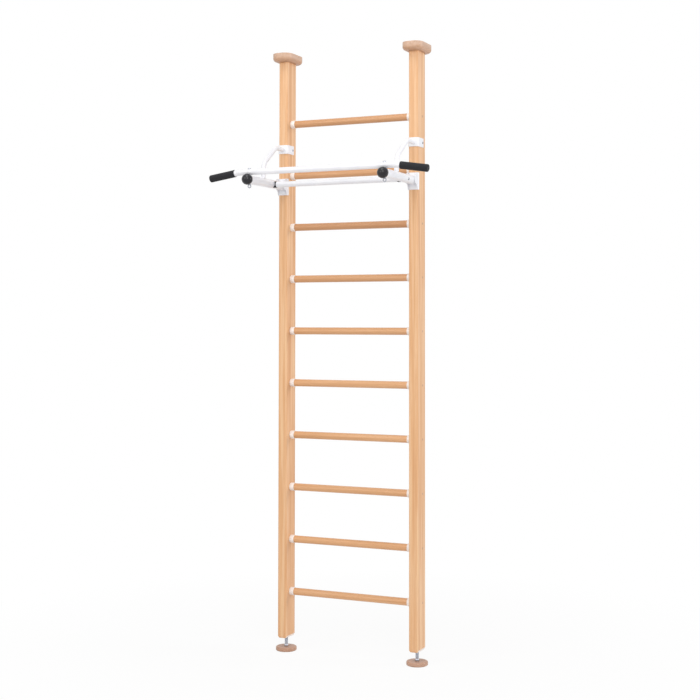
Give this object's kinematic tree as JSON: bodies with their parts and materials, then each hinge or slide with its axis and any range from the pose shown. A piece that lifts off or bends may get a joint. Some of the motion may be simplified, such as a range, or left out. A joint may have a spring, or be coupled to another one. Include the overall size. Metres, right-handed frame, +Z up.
{
  "type": "swedish wall bars",
  "caption": "Tall wooden wall bars on screw feet, jammed between floor and ceiling, with white collars on the rungs and a braced white pull-up bar with foam grips and eye bolts.",
  "frame": {"origin": "on the floor, midway between the two feet, on the line through the middle of the posts", "axes": "+X to the viewer's right along the rungs, +Y back to the wall, +Z up along the posts; the pull-up bar stands out to -Y"},
  "size_m": [0.9646, 0.4505, 2.5283],
  "materials": {
    "post_pine": "clear lacquered pine",
    "rung_beech": "lacquered beech, darker than the posts",
    "pad_pine": "oiled pine",
    "foot_pine": "oiled pine",
    "collar_plastic": "white moulded plastic",
    "white_paint": "white powder coat",
    "black_plastic": "black moulded plastic",
    "grip_foam": "black closed-cell foam",
    "zinc_steel": "zinc-plated steel"
  },
  "bodies": {
    "frame": {"post_left": "post_pine", "post_right": "post_pine", "rung_01": "rung_beech", "collar_left_01": "collar_plastic", "collar_right_01": "collar_plastic", "rung_02": "rung_beech", "collar_left_02": "collar_plastic", "collar_right_02": "collar_plastic", "rung_03": "rung_beech", "collar_left_03": "collar_plastic", "collar_right_03": "collar_plastic", "rung_04": "rung_beech", "collar_left_04": "collar_plastic", "collar_right_04": "collar_plastic", "rung_05": "rung_beech", "collar_left_05": "collar_plastic", "collar_right_05": "collar_plastic", "rung_06": "rung_beech", "collar_left_06": "collar_plastic", "collar_right_06": "collar_plastic", "rung_07": "rung_beech", "collar_left_07": "collar_plastic", "collar_right_07": "collar_plastic", "rung_08": "rung_beech", "collar_left_08": "collar_plastic", "collar_right_08": "collar_plastic", "rung_09": "rung_beech", "collar_left_09": "collar_plastic", "collar_right_09": "collar_plastic", "rung_10": "rung_beech", "collar_left_10": "collar_plastic", "collar_right_10": "collar_plastic", "ceiling_pad_left": "pad_pine", "ceiling_pad_right": "pad_pine", "foot_insert_left": "zinc_steel", "foot_insert_right": "zinc_steel", "brace_clamp_left": "white_paint", "brace_left": "white_paint", "arm_bracket_left": "white_paint", "arm_left": "white_paint", "arm_cap_left": "black_plastic", "brace_clamp_right": "white_paint", "brace_right": "white_paint", "arm_bracket_right": "white_paint", "arm_right": "white_paint", "arm_cap_right": "black_plastic", "pull_up_bar": "white_paint", "grip_left": "grip_foam", "grip_right": "grip_foam", "eye_bolt_left": "zinc_steel", "eye_bolt_nut_left": "zinc_steel", "eye_bolt_right": "zinc_steel", "eye_bolt_nut_right": "zinc_steel", "cross_bar": "white_paint", "cross_bar_saddle_left": "black_plastic", "cross_bar_saddle_right": "black_plastic"},
    "foot_left": {"foot_disc_left": "foot_pine"},
    "screw_left": {"foot_screw_left": "zinc_steel"},
    "foot_right": {"foot_disc_right": "foot_pine"},
    "screw_right": {"foot_screw_right": "zinc_steel"}
  },
  "joints": [
    {"name": "foot_left_height", "type": "slide", "parent": "frame", "child": "foot_left", "axis": [0, 0, 1], "range_m": [-0.025, 0.025]},
    {"name": "screw_left_turn", "type": "hinge", "parent": "foot_left", "child": "screw_left", "pos_m": [-0.2985, 0, 0.022], "axis": [0, 0, 1], "range_deg": [-4501, 4501]},
    {"name": "foot_right_height", "type": "slide", "parent": "frame", "child": "foot_right", "axis": [0, 0, 1], "range_m": [-0.025, 0.025]},
    {"name": "screw_right_turn", "type": "hinge", "parent": "foot_right", "child": "screw_right", "pos_m": [0.2985, 0, 0.022], "axis": [0, 0, 1], "range_deg": [-4501, 4501]}
  ],
  "couplings": [
    {"joint": "screw_left_turn", "follows": "foot_left_height", "rad_per_m": 3141.6},
    {"joint": "screw_right_turn", "follows": "foot_right_height", "rad_per_m": 3141.6}
  ]
}
